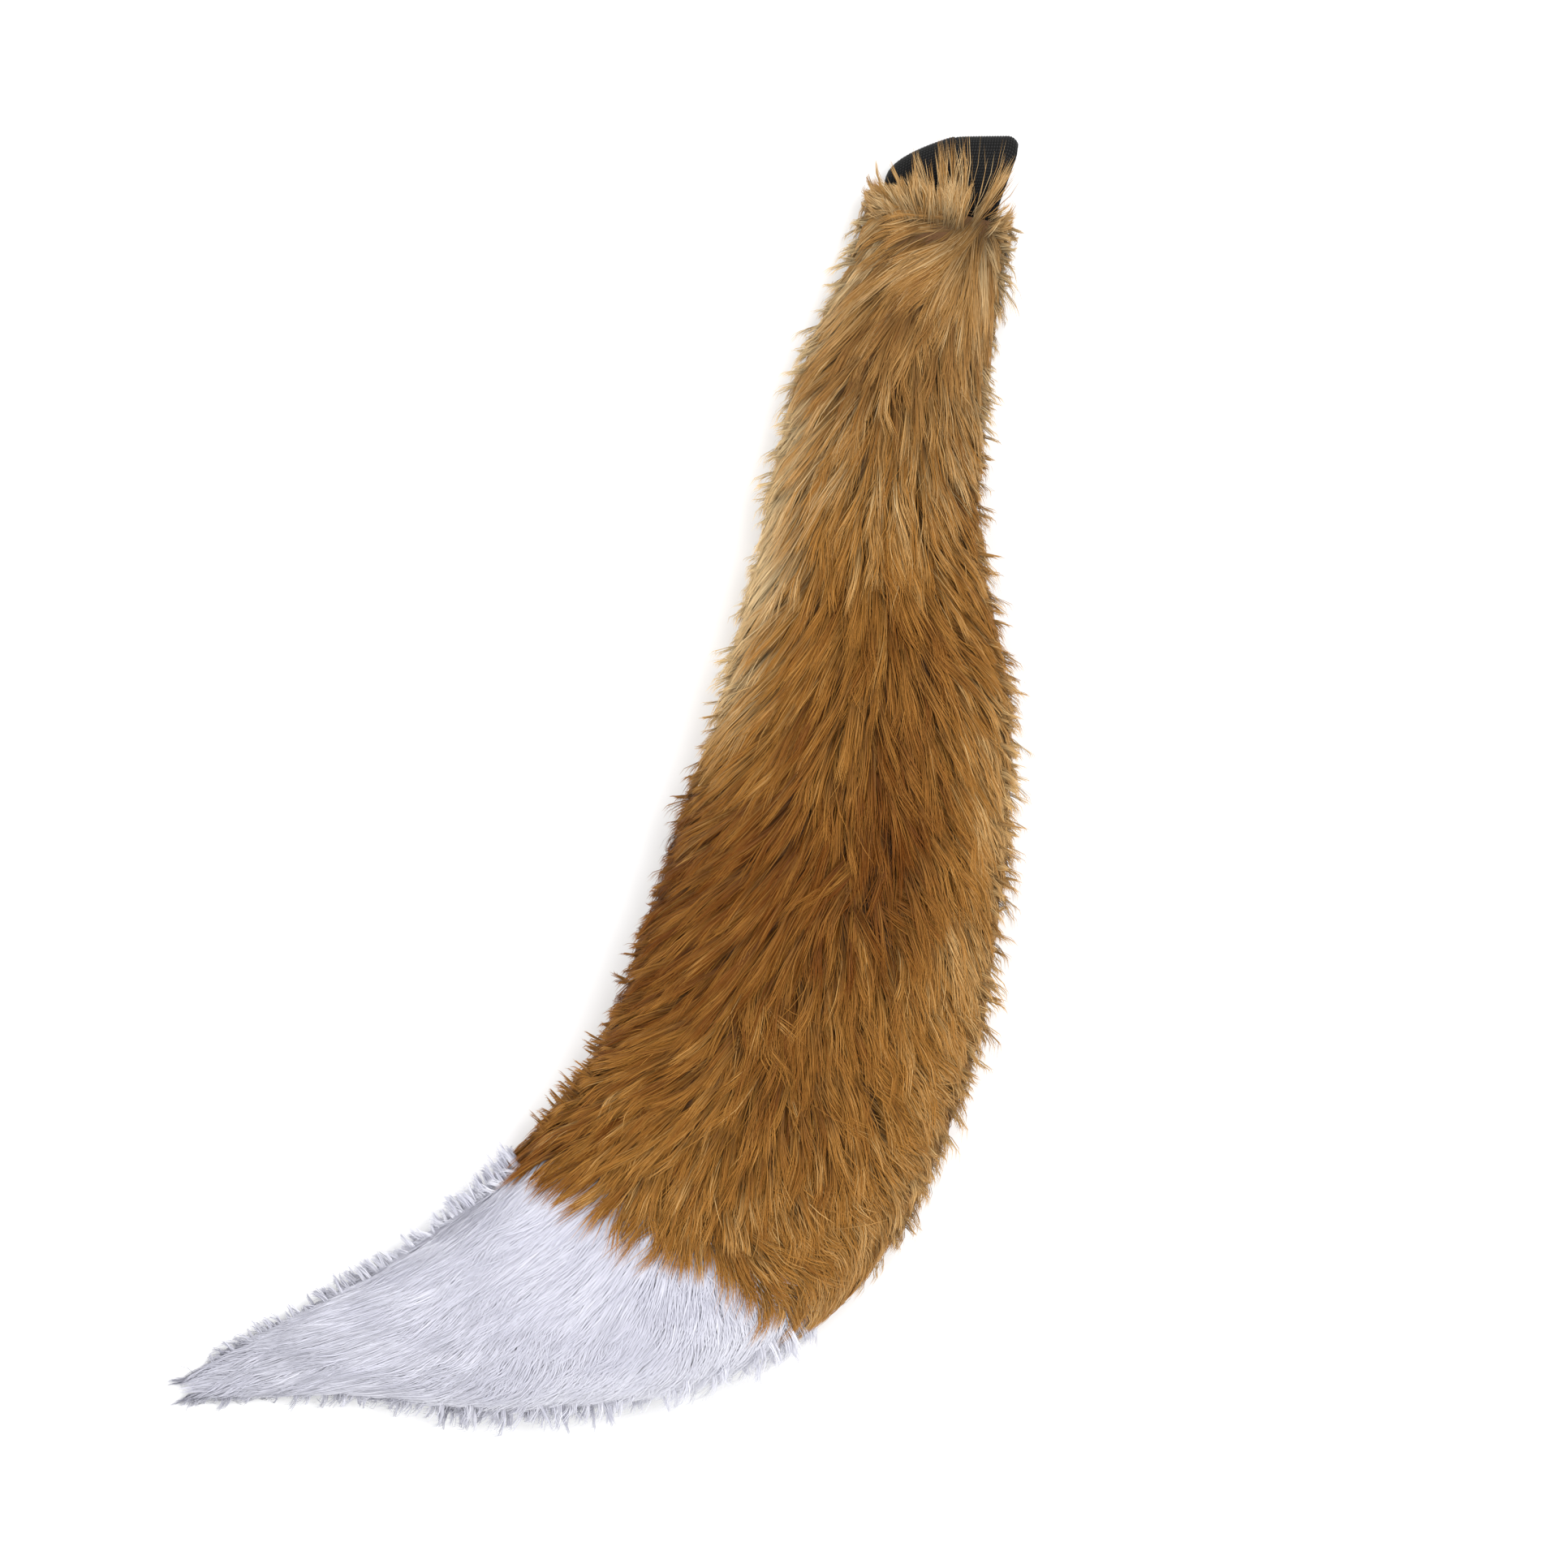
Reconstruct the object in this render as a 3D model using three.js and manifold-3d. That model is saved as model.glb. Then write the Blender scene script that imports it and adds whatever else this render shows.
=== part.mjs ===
// An animal tail for a costume, lying on its side on a table: a stuffed sleeve of long tan fur, a white fur
// tip sewn to it, and two loops of black webbing in its top seam for the wearer's belt.
// Millimetres, +Z up. Seen from above, +Y points from the tail towards its loops and +X to the right.
// The fur is modelled as rows of pointed locks on a stuffed core, each row lying over the roots of the next.
// The origin is on the table, under the middle of the tail's box.
import * as THREE from "three";
import { mergeVertices } from "three/addons/utils/BufferGeometryUtils.js";
import Module from "manifold-3d";

// The tail as it lies, fur included
const TAN_LENGTH = 405; // of the tan fur along the middle line, from the top seam to the seam of the white fur
const WHITE_LENGTH = 209; // of the white fur along the middle line, from there to the point
const TAIL_WIDTH = 152; // across the fullest part
const TAIL_DEPTH = 88; // from the table to the top of the fullest part
const AXIS_SHARE = 0.42; // height of the middle line above the table, as a share of the depth there
const FLATTENED_SHARE = 0.06; // share of the depth that the table presses flat
const SQUARENESS = 2.25; // of the sections; 2 would make them plain ellipses
const SEAM_SLANT = 34; // the white fur's seam leads by this on the bend's inner side, and lags on the outer

// The fur's locks
const PILE_RISE = 10; // how far a lock's tip stands out from the roots on the fullest part
const LOCK_OVERHANG = 19; // of a lock's tip past the roots of the next row
const LOCK_LEAN = 22; // degrees round the tail that the tips swing away from the middle of its upper side
const LOCKS_AROUND = 20;
const TAN_ROWS = 18;
const WHITE_ROWS = 9;
const LAST_LOCK = 6; // how far the last lock points past the others
const PRESSED_SHARE = 0.3; // share of the rise that is left under the tail
const PARTING = 17; // from the top seam down to where the fur parts
const TUCK = 0.05; // of the rise, by which the white fur's first ring stays inside the tan fur
// Shares that shape a lock from its roots over its rounded back to its tip, with the limits of those that vary
const LOCK = {
  tipReach: [0.8, 1.1], // of the overhang
  notchReach: 0.1,
  tipRise: [0.8, 1.2], // of the rise
  notchRise: [0.3, 0.5],
  backAlong: 0.6, // of the tip's distance
  backSwing: 0.5, // of the tip's swing
  backRise: 0.68, // of the tip's rise
};

// The locks that stand up round the loops, with their heights above the top seam
const TUFT_FRONT = 33; // in front of the loops and behind them
const TUFT_INNER = 15; // beside the left loop
const TUFT_OUTER = 3; // beside the right loop
const TUFT_SHELF = 32; // half width of the sewn end inside them
const TUFT_OPENING = 9.5; // half depth of the sewn end
const TUFT_SPREAD = 15; // half depth between their tips
const TUFT_BACK = 19.5; // half depth round the outside
const TUFT_TIP_OUT = 1.5; // of the tips past the sewn end's half width
const TUFT_BACK_OUT = 2.5; // of the outside past it
const TUFT_BACK_HEIGHT = 0.4; // share of the height at which the outside is widest
const TUFT_TIP_HEIGHT = [0.85, 1.1]; // limits of the tips' heights, as shares
const TUFT_NOTCH_HEIGHT = 0.5; // share of the height in the notches between them

// The belt loops
const WEBBING_WIDTH = 25;
const WEBBING_THICKNESS = 1.5;
const LOOP_HEIGHT = 42; // from the top seam to the highest point of a fold
const LOOP_GAP = 9; // between a loop's front and back, inside
const LOOP_SPACING = 0.4; // between the two loops
const LOOP_OFFSET = 4.5; // of the pair from the middle line at the top seam, to the right
const LOOP_LEAN = 8; // degrees that they lean to the outer side
const TAB_DEPTH = 10; // of the sewn end below the top seam
const STITCHED_HEIGHT = 1; // over which the two legs stay flat together above the seam
const CROTCH_HEIGHT = 3; // of the loop's inside above the seam
const NECK_HEIGHT = 9; // over which a loop opens out above the seam
const SLUMP_POWER = 0.45; // how suddenly a slumped fold drops at its end
// side: left or right of the pair; slump: how far the fold drops at its left end; gather: how far the
// front leg's right edge is drawn in at the seam
const LOOPS = [
  { name: "belt_loop_left", side: -1, slump: 18, gather: 0 },
  { name: "belt_loop_right", side: 1, slump: 0.5, gather: 6 },
];

const SEWN_GAP = 0.4; // between pieces that are sewn together
const CUT_PAST = 1; // of a cut past the face it starts in
const TAIL_LENGTH = TAN_LENGTH + WHITE_LENGTH;
const COLUMNS = 2 * LOCKS_AROUND; // a tip and a notch for each lock
const SPINE_STEPS = 200;
const LOOP_SLICES = 8; // across a loop's webbing
const FOLD_STEPS = 6; // facets round each quarter of a loop's fold

// Sections along the tail. along: share of its length; bend: the middle line's turn from straight down
// towards the inner side, in degrees; width and depth: shares of the fullest ones; pile: share of the rise.
const SECTIONS = [
  { along: 0.0, bend: 12, width: 0.44, depth: 0.46, pile: 0.3 },
  { along: 0.06, bend: 13.5, width: 0.53, depth: 0.56, pile: 0.7 },
  { along: 0.135, bend: 9.5, width: 0.61, depth: 0.68, pile: 0.9 },
  { along: 0.205, bend: 4, width: 0.68, depth: 0.77, pile: 1.0 },
  { along: 0.29, bend: 4, width: 0.82, depth: 0.9, pile: 1.0 },
  { along: 0.39, bend: 10, width: 0.92, depth: 0.97, pile: 1.0 },
  { along: 0.485, bend: 15.5, width: 0.99, depth: 1.0, pile: 1.0 },
  { along: 0.585, bend: 30, width: 1.0, depth: 1.0, pile: 1.0 },
  { along: 0.65, bend: 49, width: 0.99, depth: 0.96, pile: 1.0 },
  { along: 0.7, bend: 61, width: 0.93, depth: 0.88, pile: 1.0 },
  { along: 0.76, bend: 69, width: 0.78, depth: 0.76, pile: 0.9 },
  { along: 0.845, bend: 75, width: 0.51, depth: 0.52, pile: 0.7 },
  { along: 0.915, bend: 76, width: 0.29, depth: 0.32, pile: 0.45 },
  { along: 0.965, bend: 73, width: 0.17, depth: 0.2, pile: 0.35 },
  { along: 1.0, bend: 71, width: 0.06, depth: 0.1, pile: 0.2 },
];

const wasm = await Module();
wasm.setup();

const { degToRad, lerp, clamp, smoothstep } = THREE.MathUtils;

// A repeatable number between the two limits for each lock. The factors only have to be large and unrelated.
function scatter(row, column, [low, high]) {
  const wave = Math.sin(row * 12.9898 + column * 78.233 + high * 37.719) * 43758.5453;
  return lerp(low, high, wave - Math.floor(wave));
}

const sectionTable = new THREE.CubicInterpolant(
  SECTIONS.map((section) => section.along),
  SECTIONS.flatMap((section) => [section.bend, section.width, section.depth, section.pile]),
  4,
);

// The section at a distance from the top seam
function sectionAt(distance) {
  const [bend, width, depth, pile] = sectionTable.evaluate(clamp(distance / TAIL_LENGTH, 0, 1));
  return {
    turn: degToRad(bend),
    halfWidth: (width * TAIL_WIDTH) / 2,
    depth: depth * TAIL_DEPTH,
    rise: pile * PILE_RISE,
  };
}

// The way that the middle line runs at a distance from the top seam
function directionAt(distance) {
  const { turn } = sectionAt(distance);
  return new THREE.Vector3(-Math.sin(turn), -Math.cos(turn), 0);
}

// The middle line, added up from its turns, from the middle of the top seam
const stepLength = TAIL_LENGTH / SPINE_STEPS;
const spine = [new THREE.Vector3()];
for (let step = 0; step < SPINE_STEPS; step++) {
  spine.push(spine[step].clone().addScaledVector(directionAt((step + 0.5) * stepLength), stepLength));
}

// A point of the middle line on the table, which runs straight on past both ends
function spineAt(distance) {
  const step = clamp(Math.floor(distance / stepLength), 0, SPINE_STEPS - 1);
  return spine[step].clone().lerp(spine[step + 1], distance / stepLength - step);
}

// The two coordinates of a rounded section, from -1 to 1. around: angle from the middle of the upper side
// towards the inner side of the bend.
function roundedSection(around) {
  const rounded = (value) => Math.sign(value) * Math.abs(value) ** (2 / SQUARENESS);
  return { inward: rounded(Math.sin(around)), upward: rounded(Math.cos(around)) };
}

// Rings lean with the seam between the two furs, and stand square to the middle line at both ends
function slanted(distance, around) {
  const before = smoothstep(distance, PARTING, TAN_LENGTH);
  const after = 1 - smoothstep(distance, TAN_LENGTH, TAIL_LENGTH);
  return distance + SEAM_SLANT * before * after * Math.sin(around);
}

// A point of the fur, where out is 0 at the roots and 1 at an ordinary lock's tip
function furPoint(distance, around, out) {
  const along = slanted(distance, around);
  const { turn, halfWidth, depth, rise } = sectionAt(along);
  const { inward, upward } = roundedSection(around);
  const height = upward > 0
    ? (1 - AXIS_SHARE) * depth + rise * (out - 1)
    : (AXIS_SHARE + FLATTENED_SHARE) * depth + rise * PRESSED_SHARE * (out - 1);
  const aside = (halfWidth + rise * (out - 1)) * inward;
  const inner = new THREE.Vector3(-Math.cos(turn), Math.sin(turn), 0);
  const point = spineAt(along).addScaledVector(inner, aside);
  return point.setZ(AXIS_SHARE * depth + height * upward);
}

// A ring of points round the tail, from a function of the column and its angle
function ring(pointAt) {
  return Array.from({ length: COLUMNS }, (_, column) => pointAt(column, (column / COLUMNS) * 2 * Math.PI));
}

// The rings of one row of locks: its roots, the locks' backs, and their tips with the notches between them.
// Tips stand in between those of the row before.
function lockRow(row, start, pitch) {
  const isTip = (column) => (column + row) % 2 === 0;
  const swung = (around, degrees) => around + degToRad(degrees) * Math.sin(around);
  const reachShare = (column) => (isTip(column) ? scatter(row, column, LOCK.tipReach) : LOCK.notchReach);
  const reach = (column) => reachShare(column) * LOCK_OVERHANG;
  const out = (column) => scatter(row, column, isTip(column) ? LOCK.tipRise : LOCK.notchRise);
  return [
    ring((column, around) => furPoint(start, around, 0)),
    ring((column, around) => {
      const distance = start + LOCK.backAlong * (pitch + reach(column));
      return furPoint(distance, swung(around, LOCK.backSwing * LOCK_LEAN), LOCK.backRise * out(column));
    }),
    ring((column, around) => {
      const distance = start + pitch + reach(column);
      return furPoint(distance, swung(around, LOCK_LEAN), out(column));
    }),
  ];
}

// The rings of the top end: the sewn end, and the locks that stand up round it
function topEnd() {
  const middle = AXIS_SHARE * sectionAt(0).depth;
  const standing = (around, up, halfWidth, halfDepth) => {
    const { inward, upward } = roundedSection(around);
    const x = up * Math.tan(degToRad(LOOP_LEAN)) - halfWidth * inward;
    return new THREE.Vector3(x, up, middle + halfDepth * upward);
  };
  const height = (column, around) => {
    const side = Math.sin(around) > 0 ? TUFT_INNER : TUFT_OUTER;
    const share = column % 2 === 0 ? scatter(0, column, TUFT_TIP_HEIGHT) : TUFT_NOTCH_HEIGHT;
    return share * lerp(side, TUFT_FRONT, Math.cos(around) ** 2);
  };
  const tuftRing = (share, outward, depth) =>
    ring((column, around) => standing(around, share * height(column, around), TUFT_SHELF + outward, depth));
  return {
    pole: new THREE.Vector3(0, 0, middle),
    rings: [
      tuftRing(0, 0, TUFT_OPENING),
      tuftRing(1, TUFT_TIP_OUT, TUFT_SPREAD),
      tuftRing(TUFT_BACK_HEIGHT, TUFT_BACK_OUT, TUFT_BACK),
    ],
  };
}

// A closed skin over rings that follow one another from the top end to the point
function skin(firstPole, rings, lastPole) {
  const points = [firstPole, ...rings.flat(), lastPole];
  const index = [];
  const at = (line, column) => 1 + line * COLUMNS + (column % COLUMNS);
  for (let column = 0; column < COLUMNS; column++) {
    index.push(0, at(0, column + 1), at(0, column));
    for (let line = 0; line + 1 < rings.length; line++) {
      const [near, nearNext] = [at(line, column), at(line, column + 1)];
      const [far, farNext] = [at(line + 1, column), at(line + 1, column + 1)];
      index.push(near, nearNext, far, nearNext, farNext, far);
    }
    index.push(points.length - 1, at(rings.length - 1, column), at(rings.length - 1, column + 1));
  }
  const geometry = new THREE.BufferGeometry().setFromPoints(points);
  geometry.setIndex(index);
  return geometry;
}

// A geometry as a solid that can be cut
function solidOf(geometry) {
  const bare = geometry.clone();
  bare.deleteAttribute("normal");
  bare.deleteAttribute("uv");
  const merged = mergeVertices(bare, 1e-4);
  return new wasm.Manifold(
    new wasm.Mesh({
      numProp: 3,
      vertProperties: Float32Array.from(merged.attributes.position.array),
      triVerts: Uint32Array.from(merged.index.array),
    }),
  );
}

function geometryOf(solid) {
  const { vertProperties, triVerts } = solid.getMesh();
  const geometry = new THREE.BufferGeometry();
  geometry.setAttribute("position", new THREE.BufferAttribute(vertProperties, 3));
  geometry.setIndex(new THREE.BufferAttribute(triVerts, 1));
  return geometry;
}

// What lies below the table's top, to press the fur flat there
function tableSolid() {
  const reach = 2 * TAIL_LENGTH;
  const table = new THREE.BoxGeometry(reach, reach, TAIL_DEPTH);
  return solidOf(table.translate(0, -TAIL_LENGTH / 2, -TAIL_DEPTH / 2));
}

// Moves a geometry's points: change(point) alters each one in place
function reshape(geometry, change) {
  const { position } = geometry.attributes;
  const point = new THREE.Vector3();
  for (let i = 0; i < position.count; i++) {
    change(point.fromBufferAttribute(position, i));
    position.setXYZ(i, point.x, point.y, point.z);
  }
  return geometry;
}

// From a loop's own place, with its middle at x = 0 and the top seam at y = 0, to its place in the tail
function seat(point, side) {
  const middle = LOOP_OFFSET + (side * (WEBBING_WIDTH + LOOP_SPACING)) / 2;
  point.x += middle + point.y * Math.tan(degToRad(LOOP_LEAN));
  point.z += AXIS_SHARE * sectionAt(0).depth;
}

// A loop: the webbing's outline seen from its edge, drawn through its width, then slumped and gathered
function beltLoop({ side, slump, gather }) {
  const outside = LOOP_GAP / 2 + WEBBING_THICKNESS;
  const foldCentre = LOOP_HEIGHT - outside;
  const innerNeck = NECK_HEIGHT + STITCHED_HEIGHT;
  const outline = new THREE.Shape();
  outline.moveTo(-TAB_DEPTH, -WEBBING_THICKNESS).lineTo(STITCHED_HEIGHT, -WEBBING_THICKNESS);
  outline.lineTo(NECK_HEIGHT, -outside);
  outline.absarc(foldCentre, 0, outside, -Math.PI / 2, Math.PI / 2);
  outline.lineTo(NECK_HEIGHT, outside).lineTo(STITCHED_HEIGHT, WEBBING_THICKNESS);
  outline.lineTo(-TAB_DEPTH, WEBBING_THICKNESS);
  const inside = new THREE.Path();
  inside.moveTo(CROTCH_HEIGHT, 0).lineTo(innerNeck, -LOOP_GAP / 2);
  inside.absarc(foldCentre, 0, LOOP_GAP / 2, -Math.PI / 2, Math.PI / 2);
  inside.lineTo(innerNeck, LOOP_GAP / 2);
  outline.holes.push(inside);
  const strip = new THREE.ExtrudeGeometry(outline, {
    depth: WEBBING_WIDTH,
    steps: LOOP_SLICES,
    curveSegments: FOLD_STEPS,
    bevelEnabled: false,
  });
  return reshape(strip, (point) => {
    const up = point.x;
    const front = point.y;
    const across = point.z / WEBBING_WIDTH;
    const raised = clamp((up - innerNeck) / (foldCentre - innerNeck), 0, 1);
    const drop = slump * (1 - across ** SLUMP_POWER) * raised;
    const frontShare = clamp((front / WEBBING_THICKNESS + 1) / 2, 0, 1);
    const drawnIn = gather * across * frontShare * (1 - raised);
    point.set((across - 0.5) * WEBBING_WIDTH - drawnIn, up - drop, front);
    seat(point, side);
  });
}

// The slot in the tail's top end that a loop's tab is sewn into
function tabSlot({ side }) {
  const width = WEBBING_WIDTH + 2 * SEWN_GAP;
  const depth = TAB_DEPTH + SEWN_GAP;
  const thickness = 2 * (WEBBING_THICKNESS + SEWN_GAP);
  const slot = new THREE.BoxGeometry(width, depth + CUT_PAST, thickness);
  return reshape(slot.translate(0, (CUT_PAST - depth) / 2, 0), (point) => seat(point, side));
}

function tanFur() {
  const { pole, rings } = topEnd();
  const pitch = (TAN_LENGTH - PARTING) / TAN_ROWS;
  for (let row = 0; row < TAN_ROWS; row++) rings.push(...lockRow(row, PARTING + row * pitch, pitch));
  rings.push(ring((column, around) => furPoint(TAN_LENGTH, around, 0)));
  const seamPole = spineAt(TAN_LENGTH).setZ(AXIS_SHARE * sectionAt(TAN_LENGTH).depth);
  let fur = solidOf(skin(pole, rings, seamPole)).subtract(tableSolid());
  for (const loop of LOOPS) fur = fur.subtract(solidOf(tabSlot(loop)));
  return geometryOf(fur);
}

function whiteFur() {
  const pitch = (TAIL_LENGTH - LOCK_OVERHANG - TAN_LENGTH) / WHITE_ROWS;
  const rings = [];
  for (let row = 0; row < WHITE_ROWS; row++) {
    rings.push(...lockRow(row + TAN_ROWS, TAN_LENGTH + row * pitch, pitch));
  }
  const past = directionAt(TAN_LENGTH).multiplyScalar(SEWN_GAP);
  rings[0] = ring((column, around) => furPoint(TAN_LENGTH, around, -TUCK).add(past));
  const seamPole = spineAt(TAN_LENGTH).add(past).setZ(AXIS_SHARE * sectionAt(TAN_LENGTH).depth);
  const point = spineAt(TAIL_LENGTH + LAST_LOCK).setZ(AXIS_SHARE * sectionAt(TAIL_LENGTH).depth);
  return geometryOf(solidOf(skin(seamPole, rings, point)).subtract(tableSolid()));
}

const colours = { tan: 0xa5763d, white: 0xdcdce6, black: 0x1c1b1b };

function piece(name, geometry, color) {
  const material = new THREE.MeshStandardMaterial({ color, roughness: 0.95, name: `${name}_material` });
  const mesh = new THREE.Mesh(geometry, material);
  mesh.name = name;
  return mesh;
}

const tail = new THREE.Group();
tail.name = "costume_animal_tail";
tail.add(piece("tan_fur_body", tanFur(), colours.tan));
tail.add(piece("white_fur_tip", whiteFur(), colours.white));
for (const loop of LOOPS) tail.add(piece(loop.name, beltLoop(loop), colours.black));

// Put the origin on the table, under the middle of the tail's box
const box = new THREE.Box3().setFromObject(tail);
const centre = box.getCenter(new THREE.Vector3());
tail.position.set(-centre.x, -centre.y, -box.min.z);
tail.updateMatrixWorld(true);

export default tail;
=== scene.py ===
# %% [markdown]
# # A tail for a costume, in long pile fur
#
# The real tail is a sleeve cut from long pile fake fur, sewn along its length, filled with fibre and closed
# at the top, where two loops of black webbing are caught in the seam. The point is a second piece of white
# fur. What the eye sees of it is only fibre: thousands of locks, each a bundle of long hairs that leave the
# knitted backing steeply and then lie down towards the point. So this lesson first rebuilds the smooth form
# that the backing has, and then plants locks of hair on it, in the directions in which the pile was combed.

import math

import bpy
import numpy as np
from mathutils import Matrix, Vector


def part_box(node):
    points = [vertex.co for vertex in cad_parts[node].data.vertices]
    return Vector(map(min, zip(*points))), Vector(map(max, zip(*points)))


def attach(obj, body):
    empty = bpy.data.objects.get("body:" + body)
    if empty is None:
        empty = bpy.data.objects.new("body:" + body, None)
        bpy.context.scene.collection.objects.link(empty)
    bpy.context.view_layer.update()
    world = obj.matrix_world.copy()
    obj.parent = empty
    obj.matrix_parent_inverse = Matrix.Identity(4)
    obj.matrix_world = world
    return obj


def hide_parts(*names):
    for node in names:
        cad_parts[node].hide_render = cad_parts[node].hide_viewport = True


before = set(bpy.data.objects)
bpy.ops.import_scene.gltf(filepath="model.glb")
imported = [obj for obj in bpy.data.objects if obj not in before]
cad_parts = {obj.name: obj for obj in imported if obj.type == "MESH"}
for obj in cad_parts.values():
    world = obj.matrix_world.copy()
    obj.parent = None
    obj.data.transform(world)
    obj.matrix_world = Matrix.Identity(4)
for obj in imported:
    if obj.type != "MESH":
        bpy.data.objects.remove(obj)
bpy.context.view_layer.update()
random = np.random.default_rng(7)

# %% [markdown]
# ## The form under the fur
#
# A tail is easiest to describe along its own middle line. A table gives, at shares of that line, how far it
# has turned from straight down, how wide and deep the fur is, and how long the pile stands. Everything else
# follows from it, so the backing, the locks and the loops always agree with one another.

# %% Sizes
TAN_LENGTH = 0.405  # along the middle line, from the top seam to the seam between the furs
WHITE_LENGTH = 0.209  # from there to the point
TAIL_LENGTH = TAN_LENGTH + WHITE_LENGTH
TAIL_WIDTH = 0.152
TAIL_DEPTH = 0.088
AXIS_SHARE = 0.42  # of the depth, under the middle line
FLATTENED_SHARE = 0.06  # of the depth, that the table presses flat
PRESSED_SHARE = 0.3  # of the pile's rise, that is left on the underside
SQUARENESS = 2.25  # of a section, where 2 would be an ellipse
SEAM_SLANT = 0.034  # the seam between the furs leads by this on the inner side, and lags on the outer
SLANT_START = 0.017
PILE_RISE = 0.010  # of the plain sections over the backing
CLOSED_SHARE = 0.55  # how far the locks above the top seam close in on the loops
CLOSED_LENGTH = 0.035
LOOP_HEIGHT = 0.042
LOOP_LEAN = math.radians(8)
LOOP_OFFSET = 0.0045  # of the two loops from the middle line, to the right
LOOP_SPACING = 0.0004
TAB_DEPTH = 0.010  # of the webbing that is sewn in
WEBBING_WIDTH = 0.025
WEBBING_THICKNESS = 0.0015

# The origin of the frame is under the middle of the whole tail; the table starts at the top seam
loop_low, loop_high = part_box("belt_loop_left")
SEAM_X = loop_low[0] + WEBBING_WIDTH + LOOP_SPACING / 2 - LOOP_OFFSET + TAB_DEPTH * math.tan(LOOP_LEAN)
SEAM_Y = loop_high[1] - LOOP_HEIGHT
print("middle of the top seam", SEAM_X, SEAM_Y)

# %% The table of sections
# share of the length, turn from straight down in degrees, then shares of the width, the depth and the pile
SECTIONS = np.array([
    (0.0, 12, 0.44, 0.46, 0.3),
    (0.06, 13.5, 0.53, 0.56, 0.7),
    (0.135, 9.5, 0.61, 0.68, 0.9),
    (0.205, 4, 0.68, 0.77, 1.0),
    (0.29, 4, 0.82, 0.9, 1.0),
    (0.39, 10, 0.92, 0.97, 1.0),
    (0.485, 15.5, 0.99, 1.0, 1.0),
    (0.585, 30, 1.0, 1.0, 1.0),
    (0.65, 49, 0.99, 0.96, 1.0),
    (0.7, 61, 0.93, 0.88, 1.0),
    (0.76, 69, 0.78, 0.76, 0.9),
    (0.845, 75, 0.51, 0.52, 0.7),
    (0.915, 76, 0.29, 0.32, 0.45),
    (0.965, 73, 0.17, 0.2, 0.35),
    (1.0, 71, 0.06, 0.1, 0.2),
])
FINE = np.linspace(0, 1, 401)
SMOOTHED = 13  # places on each side that a place is averaged with, so that no kink shows at a row
WINDOW = np.hanning(2 * SMOOTHED + 1)
WINDOW = WINDOW / WINDOW.sum()


def read_column(column):
    """A column of the table at all the fine places, smoothed."""
    values = np.interp(FINE, SECTIONS[:, 0], SECTIONS[:, column])
    before = 2 * values[0] - values[SMOOTHED:0:-1]
    after = 2 * values[-1] - values[-2:-SMOOTHED - 2:-1]
    return np.convolve(np.concatenate([before, values, after]), WINDOW, mode="valid")


TURN = np.radians(read_column(1))
WIDTH, DEPTH, PILE = [read_column(column) for column in (2, 3, 4)]
STEP = TAIL_LENGTH / (len(FINE) - 1)
STEP_TURN = TURN[:-1] + np.diff(TURN) / 2
LINE_X = SEAM_X + np.concatenate([[0], -np.cumsum(np.sin(STEP_TURN)) * STEP])
LINE_Y = SEAM_Y + np.concatenate([[0], -np.cumsum(np.cos(STEP_TURN)) * STEP])
print("middle line ends at", LINE_X[-1], LINE_Y[-1])

# %% [markdown]
# ## Brushed edges
#
# A brush flattens the pile in some places and lifts it in others, so the outline of the real fur wanders by
# a few millimetres on both sides of the plain sections. A second short table says by how much.

# %% How far the brushed pile lies inside (+) or outside (-) the plain sections
# distance along the tail, on the inner side of the bend, on the outer side
BRUSHED = np.array([
    (-0.02, 0.0040, 0.0010),
    (0.02, 0.0055, 0.0025),
    (0.06, 0.0000, 0.0035),
    (0.10, 0.0022, 0.0040),
    (0.15, 0.0030, 0.0015),
    (0.19, 0.0030, -0.0020),
    (0.25, 0.0000, 0.0000),
    (0.32, 0.0005, -0.0010),
    (0.38, 0.0045, -0.0020),
    (0.41, 0.0050, 0.0000),
    (0.44, 0.0055, 0.0030),
    (0.47, 0.0075, 0.0035),
    (0.50, 0.0065, 0.0012),
    (0.55, 0.0045, 0.0045),
    (0.59, 0.0025, 0.0015),
    (0.62, 0.0000, 0.0000),
])
print("brushed by at most", np.abs(BRUSHED[:, 1:]).max())


# %% Points of the form
def smoothstep(value, low, high):
    share = np.clip((value - low) / (high - low), 0, 1)
    return share * share * (3 - 2 * share)


def rounded(value):
    return np.sign(value) * np.abs(value) ** (2 / SQUARENESS)


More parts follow.
